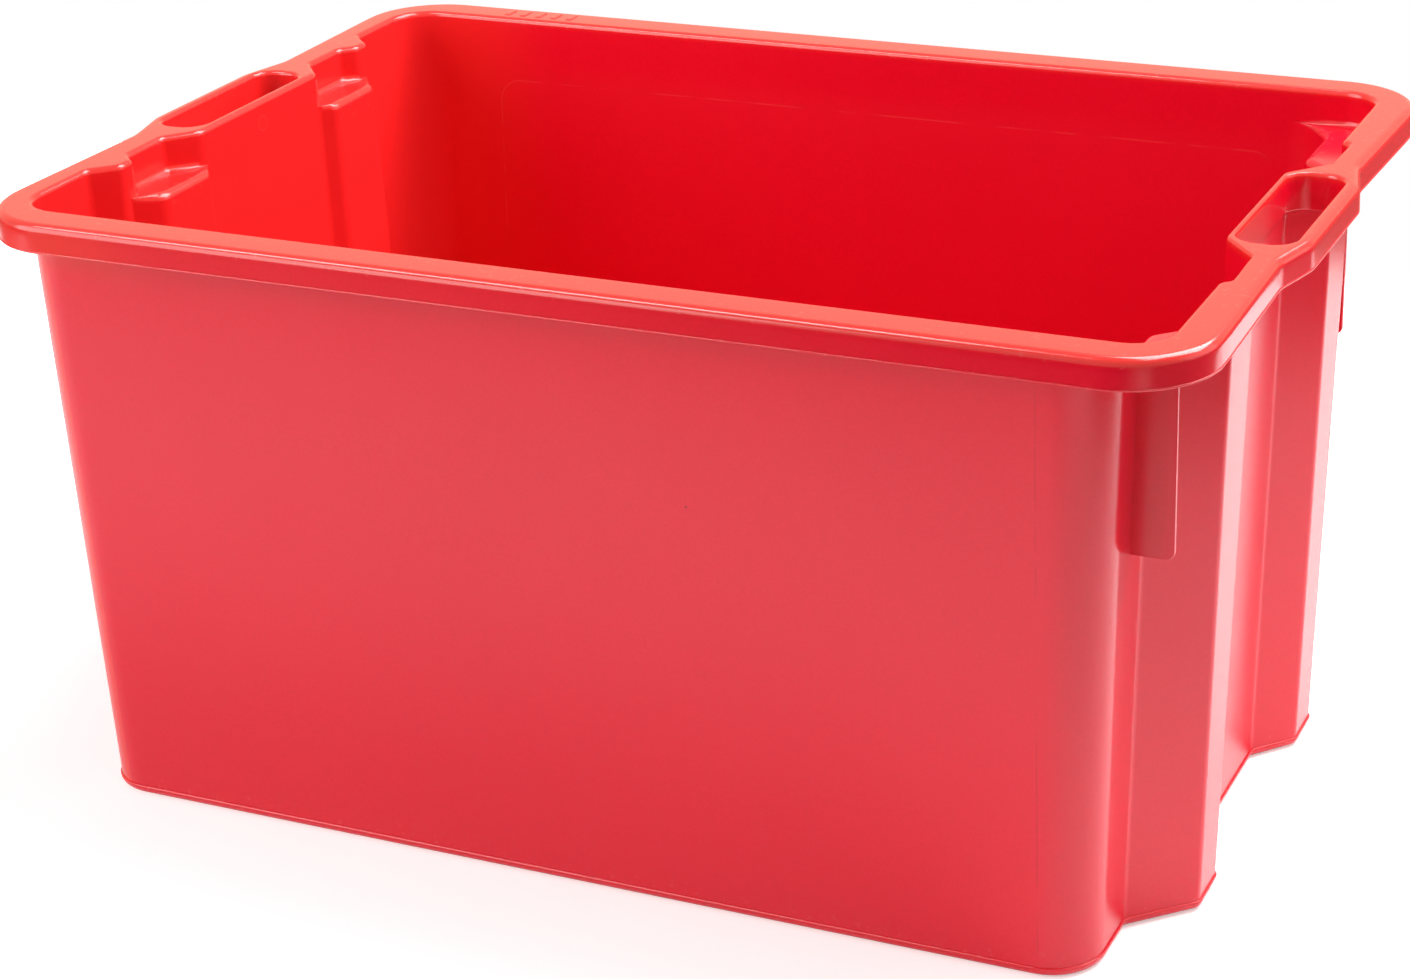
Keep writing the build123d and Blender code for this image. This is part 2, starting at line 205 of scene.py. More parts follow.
class Outline:
    """A closed outline of bends with straight runs between them, for drawing at any height and inset."""

    tightest = 0.0004

    def __init__(self, bends, spacing, lean):
        self.lean = lean
        counts = np.array([len(bend.shares) for bend in bends])
        self.angles = np.repeat([(b.first.angle, b.second.angle) for b in bends], counts, axis=0).T
        self.reaches = np.repeat([(b.first.reach, b.second.reach) for b in bends], counts, axis=0).T
        self.levels = np.repeat([(b.first.level, b.second.level) for b in bends], counts, axis=0).T
        self.radius = np.repeat([b.radius for b in bends], counts)
        turn = (self.angles[1] - self.angles[0] + np.pi) % (2 * np.pi) - np.pi
        self.side = np.sign(turn)
        self.along = self.angles[0] + turn * np.concatenate([b.shares for b in bends])
        last = np.cumsum(counts) - 1
        first = last - counts + 1
        onward = np.roll(first, -1)
        corners = self.bend_points(np.arange(counts.sum()), np.array([[ledge_top]]), np.zeros((1, 1)))[0]
        runs = (np.linalg.norm(corners[onward] - corners[last], axis=1) / spacing).astype(int)
        steps = [np.r_[np.zeros(n), np.arange(1, k + 1) / (k + 1)] for n, k in zip(counts, runs)]
        lefts = [np.r_[a : b + 1, np.full(k, b)] for a, b, k in zip(first, last, runs)]
        rights = [np.r_[a : b + 1, np.full(k, c)] for a, b, c, k in zip(first, last, onward, runs)]
        self.left, self.right, self.step = map(np.concatenate, (lefts, rights, steps))
        starts = np.cumsum(counts + runs) - counts - runs
        self.spans = {b.name: (s, s + n - 1) for b, s, n in zip(bends, starts, counts)}
        self.columns = len(self.step)

    def bend_points(self, pick, height, inset):
        """Centre of each bend's circle plus the drawn radius along the turning normal."""
        radius, side, along = self.radius[pick], self.side[pick], self.along[pick]
        drawn = np.where(side > 0, np.maximum(radius - inset, self.tightest), -(radius + inset))
        (a, b), (reach_a, reach_b) = self.angles[:, pick], self.reaches[:, pick]
        level_a, level_b = self.levels[:, pick]
        out_a = reach_a + self.lean * (height - level_a) - inset - drawn
        out_b = reach_b + self.lean * (height - level_b) - inset - drawn
        x = (out_a * np.sin(b) - out_b * np.sin(a)) / np.sin(b - a) + drawn * np.cos(along)
        y = (out_b * np.cos(a) - out_a * np.cos(b)) / np.sin(b - a) + drawn * np.sin(along)
        return np.stack([x, y], axis=-1)

    def plan(self, height, inset):
        """Rows of plan points: bends as circles, and between two bends a straight run from end to end."""
        height = np.asarray(height, float).reshape(-1, 1)
        inset = np.asarray(inset, float)
        inset = inset.reshape(-1, 1) if inset.ndim < 2 else inset
        starts = self.bend_points(self.left, height, inset)
        ends = self.bend_points(self.right, height, inset)
        return starts + (ends - starts) * self.step[:, None]


print("a round bend is drawn no tighter than", Outline.tightest, "m")

# %% [markdown]
# ## The wall's two outlines
#
# Below the ledges the wall follows the corner posts and the ledge columns. Above them it steps back to the
# risers, which leave room for the crate that stands on top. The two outlines share every bend except
# those at the ledges, and marks make their points agree where a ledge begins and ends.

# %% Lower and upper outline of the wall
right_corner = 0.028
left_corner = 0.026
riser_corner = 0.022
fold = 0.006
left_fold = 0.009
step_fold = 0.005
riser_fold = 0.003
riser_start = 0.8 * right_corner
pocket_start = 0.5 * step_fold

foot_bends = [
    arc("foot_outer", foot_slant, foot, fold),
    arc("foot_inner", foot, foot_return, fold),
    arc("right_recess", foot_return, right_recess, fold),
]
post_bends = [
    arc("left_corner", front, left_post, left_corner, count=16),
    arc("post_inner", left_post, post_slant, left_fold),
    arc("step_outer", post_slant, step, step_fold),
]
recess_mark = mark("left_recess", recess_slant, left_recess, 2 * left_fold, 1.0)
lower_right = [
    arc("right_ledge_outer", front, right_post, right_corner, count=16),
    arc("post_fold", right_post, foot_slant, fold),
    mark("riser_foot", right_riser, foot_slant, 0.0, 1.0),
    mark("right_ledge_inner", right_riser, foot_slant, riser_fold, 1.0),
    *foot_bends,
]
lower_left = [
    *post_bends,
    arc("left_ledge_outer", step, column_slant, step_fold),
    arc("column_outer", column_slant, ledge_column, left_fold),
    arc("column_inner", ledge_column, recess_slant, left_fold),
    arc("left_ledge_inner", recess_slant, left_recess, left_fold),
    recess_mark,
]
upper_right = [
    mark("right_ledge_outer", front, right_post, right_corner, 0.0),
    mark("riser_start", front, right_post, riser_start, 0.0),
    arc("riser_corner", front, right_riser, riser_corner, count=14),
    arc("right_ledge_inner", right_riser, foot_slant, riser_fold),
    *foot_bends,
]
upper_left = [
    *post_bends,
    mark("left_ledge_outer", step, column_slant, step_fold, 0.0),
    mark("pocket_start", step, column_slant, pocket_start, 0.0),
    arc("pocket_fold", step, pocket_slant, step_fold),
    arc("pocket_outer", pocket_slant, pocket_back, left_fold),
    arc("pocket_inner", pocket_back, pocket_return, left_fold),
    arc("left_ledge_inner", pocket_return, left_recess, left_fold),
    recess_mark,
]
spacing = 0.011
lower_wall = Outline(all_round(lower_right, lower_left), spacing, draft)
upper_wall = Outline(all_round(upper_right, upper_left), spacing, draft)
print("lower outline", lower_wall.columns, "columns, upper outline", upper_wall.columns)

# %% [markdown]
# The rim's outline is drawn the same way, with upright faces: a straight end, a slight taper towards the
# grip, a ramp and the grip itself. The hand slots are plain rounded rectangles. The right slot lies close
# against its recess panel, and the left one has a wider lip.

# %% Outline of the rim and the hand slots
taper_depth = 0.0025
rim_corner = 0.046
ramp_bend = 0.030
taper_bend = 0.300
ramp_outer = 0.078
ramp_inner = 0.046
straight_end = 0.009
waist_end = rim_end - taper_depth
taper_start = rim_side - rim_corner - straight_end


def rim_half(side):
    """Front half of one end of the rim. Each slanted face is square to the line between its two ends."""
    taper = np.degrees(np.arctan2(rim_end - waist_end, taper_start - ramp_outer))
    ramp = -np.degrees(np.arctan2(grip_end - waist_end, ramp_outer - ramp_inner))

    def turn(angle):
        return angle if side > 0 else 180 - angle

    long_side = face(-90, 0.0, -rim_side)
    end = face(turn(0), side * rim_end)
    taper_face = face(turn(taper), side * rim_end, -taper_start)
    ramp_face = face(turn(ramp), side * grip_end, -ramp_inner)
    grip_face = face(turn(0), side * grip_end)
    word = "right" if side > 0 else "left"
    return [
        arc(word + "_rim_corner", long_side, end, rim_corner, count=22),
        arc(word + "_rim_taper", end, taper_face, taper_bend, count=4),
        arc(word + "_rim_waist", taper_face, ramp_face, ramp_bend),
        arc(word + "_rim_grip", ramp_face, grip_face, ramp_bend),
    ]


def slot_outline(low, high, half, radius):
    """A hand slot: the rounded rectangle between two X values, as long as twice the half length."""
    sides = [face(0, high), face(90, 0.0, half), face(180, low), face(270, 0.0, -half)]
    bends = [arc(str(i), sides[i], sides[(i + 1) % 4], radius, count=12) for i in range(4)]
    return Outline(bends, slot_spacing, lean=0.0)


rim = Outline(all_round(rim_half(1), rim_half(-1)), spacing, lean=0.0)
slot_half = 0.0572
slot_corner = 0.012
slot_spacing = 0.006
strap = 0.008
right_lip = 0.0007
left_lip = 0.0030
recess_top = recess_reach + draft * rim_top
right_slot_edge = recess_top + right_lip
left_slot_edge = -recess_top - left_lip
right_slot = slot_outline(right_slot_edge, grip_end - strap, slot_half, slot_corner)
left_slot = slot_outline(strap - grip_end, left_slot_edge, slot_half, slot_corner)
print("rim outline", rim.columns, "columns, slots", right_slot.columns, "each")

# %% [markdown]
# ## Rounded edges
#
# A skin is made by carrying a profile round an outline: each row of the profile has a height and an inset.
# A rounded edge is a quarter circle, in which the height goes with the sine of an angle and the inset with
# its cosine. A Bevel modifier could round the edges too, but at the ledges, where an edge fades into a
# flat wall, it leaves puckers. Here the roundness of a ledge simply fades with the ledge's own depth.

# %% Profiles of the skin
base_round = 0.0045
floor_fillet = 0.005
nose_round = 0.0045
ledge_fillet = 0.0035
under_fillet = 0.0015
edge_round = 0.0015
rim_round = 0.0045
lip_round = 0.0030
thin_lip_round = 0.0015
thin_lip_range = (0.085, 0.110)  # from the middle: up to the first the lip is thin, past the second full
ledge_room = 1.4  # a ledge this many times as deep as its two roundings is drawn with all of them
tiny = 1e-12  # stands in for the length of an empty piece of an outline
flange_fillet = 0.0004
skirt_fillet = 0.0020
skirt_round = 0.0008
skirt_bead = 0.0004  # where the two halves of the mould meet
base_step = 0.0009


def swing(count):
    """Angles of a quarter circle, with the sine and cosine that the profiles use."""
    angle = np.linspace(0.0, np.pi / 2, count)
    return np.sin(angle)[:, None], np.cos(angle)[:, None]


def ease(value, low, high):
    """Smooth step: 0 below low, 1 above high, with no corner at either."""
    share = np.clip((value - low) / (high - low), 0.0, 1.0)
    return share * share * (3 - 2 * share)


def distance_to(points, loop):
    """Distance of each point from a closed polyline: the nearest point on each of its straight pieces."""
    start, piece = loop, np.roll(loop, -1, axis=0) - loop
    towards = points[:, None] - start[None]
    square = np.maximum(np.einsum("qk,qk->q", piece, piece), tiny)
    share = np.einsum("pqk,qk->pq", towards, piece) / square
    nearest = np.clip(share, 0.0, 1.0)[..., None] * piece
    return np.linalg.norm(towards - nearest, axis=2).min(axis=1)


def ledge_depths(inset):
    """How much of a ledge each column below and above it has: 0 at a plain wall, 1 on a full ledge."""
    below = lower_wall.plan(ledge_top, inset)[0]
    above = upper_wall.plan(ledge_top, inset)[0]
    full = ledge_room * (nose_round + ledge_fillet)
    return [np.clip(distance_to(*pair) / full, 0.0, 1.0) ** 2 for pair in ((below, above), (above, below))]


nose_depth, back_depth = ledge_depths(wall)
under_depth, edge_depth = ledge_depths(0.0)
full_below, full_above = (int((depth == 1.0).sum()) for depth in (nose_depth, back_depth))
print("columns on a full ledge:", full_below, "below and", full_above, "above")

# %% [markdown]
# ## The skin, row by row
#
# The skin is taken in one direction the whole way: from the floor's underside up the outside, over the
# rim and down the inside to the floor. Because the outlines all run anticlockwise, every strip then faces
# outwards by itself, and nothing has to be turned round afterwards.

# %% Rows of the wall, the rim and the slots
Skin = namedtuple("Skin", "points edge")


def stretch(low, high, count):
    """Heights between two heights, without the ends."""
    return np.linspace(low, high, count + 2)[1:-1, None]


def skin(outline, rows, level=None):
    """A grid of points: each set of rows is (heights, insets, how much of an edge they are).

    Level, if given, turns a height into the height at which the outline is taken there.
    """
    heights = np.concatenate([high for high, inset, edge in rows])
    shape = (outline.columns,)
    insets = np.concatenate([np.broadcast_to(inset, (len(high),) + shape) for high, inset, edge in rows])
    edges = np.concatenate([np.full((len(high),) + shape, edge) for high, inset, edge in rows])
    plan = outline.plan(level(heights) if level else heights, insets)
    high = np.broadcast_to(heights[:, :, None], plan.shape[:2] + (1,))
    return Skin(np.concatenate([plan, high], axis=2), edges)


def rising_to_ledge(height):
    """Below a ledge the outline is brought up to the ledge's top, so that it meets the riser's."""
    return height + wall * np.clip((height - ledge_bottom + under_fillet) / under_fillet, 0.0, 1.0)


def from_ledge(height):
    """The riser's outline starts as it is at the ledge's top."""
    return np.maximum(height, ledge_top)


s, c = swing(count=7)
outside_below = skin(
    lower_wall,
    [
        (base_round * (1 - c), base_round * (1 - s) - base_step, 1.0),
        (base_round + base_step * s, -base_step * c, 1.0),
        (stretch(base_round + base_step, ledge_bottom - under_fillet, count=8), 0.0, 0.0),
        (ledge_bottom - under_fillet * (1 - s), -under_fillet * (1 - c) * under_depth, 0.0),
    ],
    rising_to_ledge,
)
outside_above = skin(
    upper_wall,
    [
        (ledge_bottom + edge_round * (1 - c), edge_round * (1 - s) * edge_depth, 0.0),
        (stretch(ledge_bottom + edge_round, flange_bottom - flange_fillet, count=2), 0.0, 0.0),
        (flange_bottom - flange_fillet * (1 - s), -flange_fillet * (1 - c), 0.0),
    ],
    from_ledge,
)
round_rim = skin(
    rim,
    [
        (flange_bottom - skirt_fillet * (1 - c), rim_skin + skirt_fillet * (1 - s), 0.0),
        (stretch(flange_bottom - skirt_fillet, skirt_bottom + skirt_round, count=2), rim_skin, 0.0),
        (skirt_bottom + skirt_round * (1 - s), rim_skin - skirt_round * (1 - c), 1.0),
        (skirt_bottom + skirt_round * (1 - c), skirt_round * (1 - s) - skirt_bead, 1.0),
        (skirt_bottom + skirt_round + skirt_bead * s, -skirt_bead * c, 1.0),
        (stretch(skirt_bottom + skirt_round + skirt_bead, rim_top - rim_round, count=3), 0.0, 0.0),
        (rim_top - rim_round * (1 - s), rim_round * (1 - c), 1.0),
    ],
)
mouth = upper_wall.plan(rim_top, wall)[0]
thin_lip = (mouth[:, 0] > 0) * (1 - ease(np.abs(mouth[:, 1]), *thin_lip_range))
lip = lip_round + (thin_lip_round - lip_round) * thin_lip
inside_above = skin(
    upper_wall,
    [
        (rim_top - lip_round * (1 - c), wall - lip * (1 - s), 1.0),
        (stretch(rim_top - lip_round, ledge_top + ledge_fillet, count=3), wall, 0.0),
        (ledge_top + ledge_fillet * (1 - s), wall + ledge_fillet * (1 - c) * back_depth, 0.0),
    ],
)
inside_below = skin(
    lower_wall,
    [
        (ledge_top - nose_round * (1 - c), wall - nose_round * (1 - s) * nose_depth, nose_depth),
        (stretch(ledge_top - nose_round, floor_top + floor_fillet, count=8), wall, 0.0),
        (floor_top + floor_fillet * (1 - s), wall + floor_fillet * (1 - c), 0.0),
    ],
)
print("rows outside", len(outside_below.points) + len(outside_above.points), "rim", len(round_rim.points))

# %% [markdown]
# Each hand slot has a collar that hangs below the flange, so that fingers meet no sharp edge. Its skin
# starts at the flange's top, rounds over into the slot, turns under at the collar's bottom and goes back up
# on the far side to the flange's underside. Next to the recess panel the rounding is smaller, because
# there is less plastic there.

# %% Rows of a hand slot
collar = 0.0024
collar_height = 0.020
collar_bottom = rim_top - collar_height
collar_round = 0.0008
collar_wear = 0.5
collar_groove = 0.0006  # how far the collar's back runs up past the flange's underside
roomy_range = (0.003, 0.018)  # from the recess panel: cramped up to the first, roomy past the second


def slot_skin(outline, recess_x, wide, narrow, tucked):
    """Profile: round over from the flange's top, down, under the collar, up, and back to the underside.

    Beside the recess panel the rounding is narrow and the last row is tucked in. Elsewhere it is wide.
    """
    loop = outline.plan(rim_top, 0.0)[0]
    roomy = ease(np.abs(loop[:, 0] - recess_x), *roomy_range)
    over = narrow + (wide - narrow) * roomy
    back = tucked + (collar / 2 - tucked) * roomy
    return skin(
        outline,
        [
            (rim_top - wide * (1 - c), -over * (1 - s), 1.0),
            (stretch(rim_top - wide, collar_bottom + collar_round, count=4), 0.0, 0.0),
            (collar_bottom + collar_round * (1 - s), -collar_round * (1 - c), collar_wear),
            (collar_bottom + collar_round * (1 - c), collar_round * (1 - s) - collar, collar_wear),
            (stretch(collar_bottom + collar_round, flange_bottom, count=2), -collar, 0.0),
            (np.array([[flange_bottom + collar_groove]]), -collar, 0.0),
            (np.array([[flange_bottom]]), -back, 0.0),
        ],
    )


right_collar = slot_skin(right_slot, right_slot_edge, wide=0.0024, narrow=0.0014, tucked=0.0001)
left_collar = slot_skin(left_slot, left_slot_edge, wide=0.0026, narrow=0.0022, tucked=0.0012)
print("collar rows", len(right_collar.points))

# %% [markdown]
# ## Flats
#
# The floor, the ledges and the top of the rim are flat, so they need no rows of their own: each is filled
# between the edges of the skins that meet it. A Delaunay triangulation takes the outer loop and any holes
# and returns well-shaped triangles. It works in millimetres, where its numbers are of a handy size. All
# parts are then welded where their edges coincide, and the skin is closed.

# %% Flats between the skins
Part = namedtuple("Part", "points faces edge")
millimetres = 1000
triangles_inside = 1  # the kind of result that Blender's triangulation is asked for
same_place = 1e-6


def strip(grid):
    """A skin as quads. Columns close on themselves, and each quad goes along a row and then up."""
    rows, columns = grid.edge.shape
    corner = np.arange(rows * columns).reshape(rows, columns)
    onward = np.roll(corner, -1, axis=1)
    quads = np.stack([corner[:-1], onward[:-1], onward[1:], corner[1:]], axis=-1).reshape(-1, 4)
    return Part(grid.points.reshape(-1, 3), quads, grid.edge.ravel())


def enclosed(spots, start, end):
    """Whether each spot lies in the filled area: a ray from it crosses an odd number of sides."""
    x, y = spots[:, :1], spots[:, 1:]
    straddles = (start[:, 1] > y) != (end[:, 1] > y)
    rise = np.where(end[:, 1] == start[:, 1], 1.0, end[:, 1] - start[:, 1])
    meets = start[:, 0] + (y - start[:, 1]) / rise * (end[:, 0] - start[:, 0])
    return (straddles & (meets > x)).sum(axis=1) % 2 == 1


def flat(loops, facing):
    """Triangles that fill the first loop and leave the others open, all facing up (1) or down (-1)."""
    points = np.concatenate(loops)
    starts = np.cumsum([0] + [len(loop) for loop in loops])
    rings = [np.arange(low, high) for low, high in zip(starts[:-1], starts[1:])]
    sides = np.concatenate([np.stack([ring, np.roll(ring, -1)], axis=1) for ring in rings])
    plan = points[:, :2] * millimetres
    spots = [Vector(spot) for spot in plan.tolist()]
    found = delaunay_2d_cdt(spots, sides.tolist(), [], triangles_inside, same_place)
    same = np.array([sources[0] for sources in found[3]])
    triangles = same[np.array(found[2])]
    triangles = triangles[enclosed(plan[triangles].mean(axis=1), plan[sides[:, 0]], plan[sides[:, 1]])]
    a, b, d = (plan[triangles[:, i]] for i in range(3))
    area = (b[:, 0] - a[:, 0]) * (d[:, 1] - a[:, 1]) - (b[:, 1] - a[:, 1]) * (d[:, 0] - a[:, 0])
    turned = np.where((area * facing < 0)[:, None], triangles[:, ::-1], triangles)
    return Part(points, np.column_stack([turned, turned[:, 2]]), np.zeros(len(points)))


def between(outline, ends):
    """The columns from the start of one bend to the end of another."""
    return np.arange(outline.spans[ends[0]][0], outline.spans[ends[1]][1] + 1)


ledge_ends = [
    ("right_ledge_outer", "right_ledge_inner"),
    ("rear_right_ledge_inner", "rear_right_ledge_outer"),
    ("rear_left_ledge_outer", "rear_left_ledge_inner"),
    ("left_ledge_inner", "left_ledge_outer"),
]


def ledge_flats(lower_row, upper_row, facing):
    """Four ledges, each filled between its stretch of the lower outline and of the upper one."""
    parts = []
    for ends in ledge_ends:
        below = lower_row[between(lower_wall, ends)]
        above = upper_row[between(upper_wall, ends)]
        parts.append(flat([np.concatenate([below, above[-2:0:-1]])], facing))
    return parts


collars = [right_collar, left_collar]
grids = [outside_below, outside_above, round_rim, inside_above, inside_below, *collars]
parts = [strip(grid) for grid in grids]
parts += [flat([outside_below.points[0]], -1), flat([inside_below.points[-1]], 1)]
parts += ledge_flats(outside_below.points[-1], outside_above.points[0], -1)
parts += ledge_flats(inside_below.points[0], inside_above.points[-1], 1)
top_loops = [round_rim.points[-1], inside_above.points[0], *[grid.points[0] for grid in collars]]
under_loops = [round_rim.points[0], outside_above.points[-1], *[grid.points[-1] for grid in collars]]
parts += [flat(top_loops, 1), flat(under_loops, -1)]
print("parts of the skin", len(parts), "faces", sum(len(part.faces) for part in parts))

# %% [markdown]
# Welding is a matter of numbers: points that agree to a tenth of a micron are one point. Faces that lose a
# corner become triangles, and those that lose two are dropped. The share of edge at each point is kept as
# an attribute, because handling polishes and scuffs the edges first.

# %% Weld the skin into one piece
weld_steps = 1e7  # to a metre, so a step is a tenth of a micron


def welded(parts):
    """One set of points and faces from many parts: points that round to the same steps are joined."""
    offsets = np.cumsum([0] + [len(part.points) for part in parts[:-1]])
    points = np.concatenate([part.points for part in parts])
    edge = np.concatenate([part.edge for part in parts])
    faces = np.concatenate([part.faces + offset for part, offset in zip(parts, offsets)])
    steps = np.round(points * weld_steps).astype(np.int64)
    keys, first, same = np.unique(steps, axis=0, return_index=True, return_inverse=True)
    joined_edge = np.zeros(len(keys))
    np.maximum.at(joined_edge, same.ravel(), edge)
    faces = same.ravel()[faces]
    whole = (faces != np.roll(faces, -1, axis=1)).all(axis=1)
    halves = np.concatenate([faces[~whole][:, [0, 1, 2]], faces[~whole][:, [0, 2, 3]]])
    sound = (halves != np.roll(halves, -1, axis=1)).all(axis=1)
    return points[first], faces[whole], halves[sound], joined_edge


def make_piece(name, points, faces, edge=None, sharp=40.0):
    """A mesh object at the origin, smooth except at edges sharper than an angle."""
    mesh = bpy.data.meshes.new(name)
    mesh.from_pydata(points.tolist(), [], faces)
    mesh.shade_smooth()
    mesh.set_sharp_from_angle(angle=np.radians(sharp))
    worn = mesh.attributes.new("edge", "FLOAT", "POINT")
    worn.data.foreach_set("value", np.zeros(len(points)) if edge is None else edge)
    piece = bpy.data.objects.new(name, mesh)
    bpy.context.scene.collection.objects.link(piece)
    weighted = piece.modifiers.new("flats_stay_flat", "WEIGHTED_NORMAL")
    weighted.keep_sharp = True
    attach(piece, "root")
    return piece


def edge_uses(*face_sets):
    """How many faces share each edge, which is two everywhere on a closed skin."""
    sides = [np.stack([faces, np.roll(faces, -1, axis=1)], axis=-1).reshape(-1, 2) for faces in face_sets]
    return np.unique(np.sort(np.concatenate(sides), axis=1), axis=0, return_counts=True)[1]


points, quads, triangles, edge = welded(parts)
shell = make_piece("moulded_shell", points, quads.tolist() + triangles.tolist(), edge)
stops = [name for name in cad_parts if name.endswith("_stop")]
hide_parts(*[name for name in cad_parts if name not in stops])
open_edges = int((edge_uses(quads, triangles) != 2).sum())
print("shell", len(points), "points", len(quads), "quads", len(triangles), "triangles")
print("open edges", open_edges)

# %% [markdown]
# ## Nest stops
#
# When crates nest, upright plates under the ledges meet the ledges of the crate below and set how far one
# sinks into the next. A plate is a slab with softened edges: its outline, drawn once in the XZ plane, is
# shrunk a little on both faces. The CAD model gives each plate's box.

# %% Nest stops
stop_into_ledge = 0.001
stop_into_wall = 0.0012
stop_corner = 0.004
stop_soft = 0.0007


def slab_outline(low, high, low_x, high_x, radius, count=8):
    """Corners of a plate in XZ: the inner edge leans with the wall, the lower outer corner is round."""
    angle = np.linspace(-np.pi / 2, 0.0, count)
    side = np.sign(high_x - low_x)
    across = high_x - side * radius * (1 - np.cos(angle))
    turn = np.stack([across, low + radius * (1 + np.sin(angle))], axis=1)
    top = [[high_x, high], [low_x + side * draft * (high - low), high]]
    return np.concatenate([[[low_x, low]], turn, top])


def slab(outline, y_low, y_high, soft):
    """Rows of the outline at several depths: softened faces are drawn in towards the outline's middle."""
    s, c = swing(count=4)
    depth = np.concatenate([y_low + soft * (1 - c), y_high - soft * (1 - c[::-1])]).ravel()
    inset = soft * np.concatenate([1 - s, 1 - s[::-1]]).ravel()
    middle = (outline.min(axis=0) + outline.max(axis=0)) / 2
    reach = np.abs(outline - middle).max(axis=0)
    scale = 1 - inset[:, None] / reach[None]
    plan = middle + (outline - middle) * scale[:, None, :]
    y = np.broadcast_to(depth[:, None, None], plan.shape[:2] + (1,))
    return np.concatenate([plan[..., :1], y, plan[..., 1:]], axis=2)


def nest_stop(name):
    """The slab of one stop, let into the wall a little so that no gap shows."""
    low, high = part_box(name)
    side = np.sign(low.x)
    inner, outer = (low.x, high.x) if side > 0 else (high.x, low.x)
    top = high.z + stop_into_ledge
    root = inner - side * stop_into_wall
    rows = slab(slab_outline(low.z, top, root, outer, stop_corner), low.y, high.y, stop_soft)
    part = strip(Skin(rows, np.zeros(rows.shape[:2])))
    count = rows.shape[1]
    caps = [list(range(count))[::-1], list(range(len(part.points) - count, len(part.points)))]
    order = part.faces if side > 0 else part.faces[:, ::-1]
    caps = caps if side > 0 else [cap[::-1] for cap in caps]
    piece = make_piece(name + "_plate", part.points, order.tolist() + caps)
    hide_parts(name)
    return piece


stop_pieces = [nest_stop(name) for name in stops]
print("nest stops", [piece.name for piece in stop_pieces])

# %% [markdown]
# ## A row of small bars on the rim
#
# On the rear rim, near the left corner, the moulding has five short raised bars. Each is a pillow: its
# height falls off towards the rim of a small rectangle as a high power of the distance from the middle.

# %% Bars on the rear rim
bar_count = 5
bar_pitch = 0.0105
bar_size = (0.0042, 0.0120, 0.0007)  # along X, along Y and in height
bar_sunk = 0.0002
bar_squareness = 8
bar_inset = 0.0125
bar_middle = (-0.222, rim_side - bar_inset)


def pillow(x, y, size, grid=13):
    """Height = size * (1 - u^8) * (1 - v^8) for u and v from -1 to 1, sunk a little at its edge."""
    u, v = np.meshgrid(np.linspace(-1, 1, grid), np.linspace(-1, 1, grid), indexing="ij")
    z = rim_top - bar_sunk + size[2] * (1 - u**bar_squareness) * (1 - v**bar_squareness)
    return np.stack([x + u * size[0] / 2, y + v * size[1] / 2, z], axis=-1)


bar_x = bar_middle[0] + bar_pitch * (np.arange(bar_count) - (bar_count - 1) / 2)
bars = np.stack([pillow(x, bar_middle[1], bar_size) for x in bar_x])
index = np.arange(bars.size // 3).reshape(bars.shape[:3])
bar_quads = np.stack(
    [index[:, :-1, :-1], index[:, 1:, :-1], index[:, 1:, 1:], index[:, :-1, 1:]], axis=-1
).reshape(-1, 4)
tops = bars.reshape(-1, 3)
undersides = np.column_stack([tops[:, :2], np.full(len(tops), tops[:, 2].min())])
bar_parts = [
    Part(tops, bar_quads, np.ones(len(tops))),
    Part(undersides, bar_quads[:, ::-1], np.zeros(len(tops))),
]
bar_points, bar_faces, bar_corners, bar_edge = welded(bar_parts)
rim_bars = make_piece("rear_rim_bars", bar_points, bar_faces.tolist() + bar_corners.tolist(), bar_edge)
print("bars", bar_count, "from x", round(bar_x[0], 4), "to", round(bar_x[-1], 4), "faces", len(bar_faces))

# %% [markdown]
# ## Shader maths
#
# A material is a sum of small effects, and node by node that is hard to read. This class wraps a shader
# socket, so that effects can be written as ordinary sums: each operation lays down one Math node.

# %% Sockets that can be added and multiplied
class Value:
    """A shader socket. Sums and products of it add Math nodes, and node() adds any other node."""

    def __init__(self, tree, socket=None):
        self.tree = tree
        self.socket = socket

    def node(self, kind, settings=None, inputs=None, output=0):
        """Adds a node: its settings first, then the values or links of its sockets."""
        made = self.tree.nodes.new(kind)
        for key, value in (settings or {}).items():
            setattr(made, key, value)
        for key, value in (inputs or {}).items():
            if isinstance(value, Value):
                self.tree.links.new(value.socket, made.inputs[key])
            else:
                made.inputs[key].default_value = value
        return Value(self.tree, made.outputs[output])

    def maths(self, operation, first, second=0.0):
        return self.node("ShaderNodeMath", {"operation": operation}, {0: first, 1: second})

    def __add__(self, other):
        return self.maths("ADD", self, other)

    __radd__ = __add__

    def __mul__(self, other):
        return self.maths("MULTIPLY", self, other)

    __rmul__ = __mul__

    def __sub__(self, other):
        return self.maths("SUBTRACT", self, other)

    def __rsub__(self, other):
        return self.maths("SUBTRACT", other, self)

    def size(self):
        return self.maths("ABSOLUTE", self)

    def above(self, low, high):
        """0 below low, 1 above high, and smooth between."""
        return self.node(
            "ShaderNodeMapRange", {"interpolation_type": "SMOOTHSTEP"}, {"Value": self, 1: low, 2: high}
        )

    def mixed(self, first, second):
        """The first colour where this value is 0, the second where it is 1.

        Sockets 6 and 7 of a Mix node are its two colours, and its output 2 is the mixed colour.
        """
        return self.node("ShaderNodeMix", {"data_type": "RGBA"}, {0: self, 6: first, 7: second}, 2)


print("besides sums, a socket has", [name for name in vars(Value) if not name.startswith("__")])

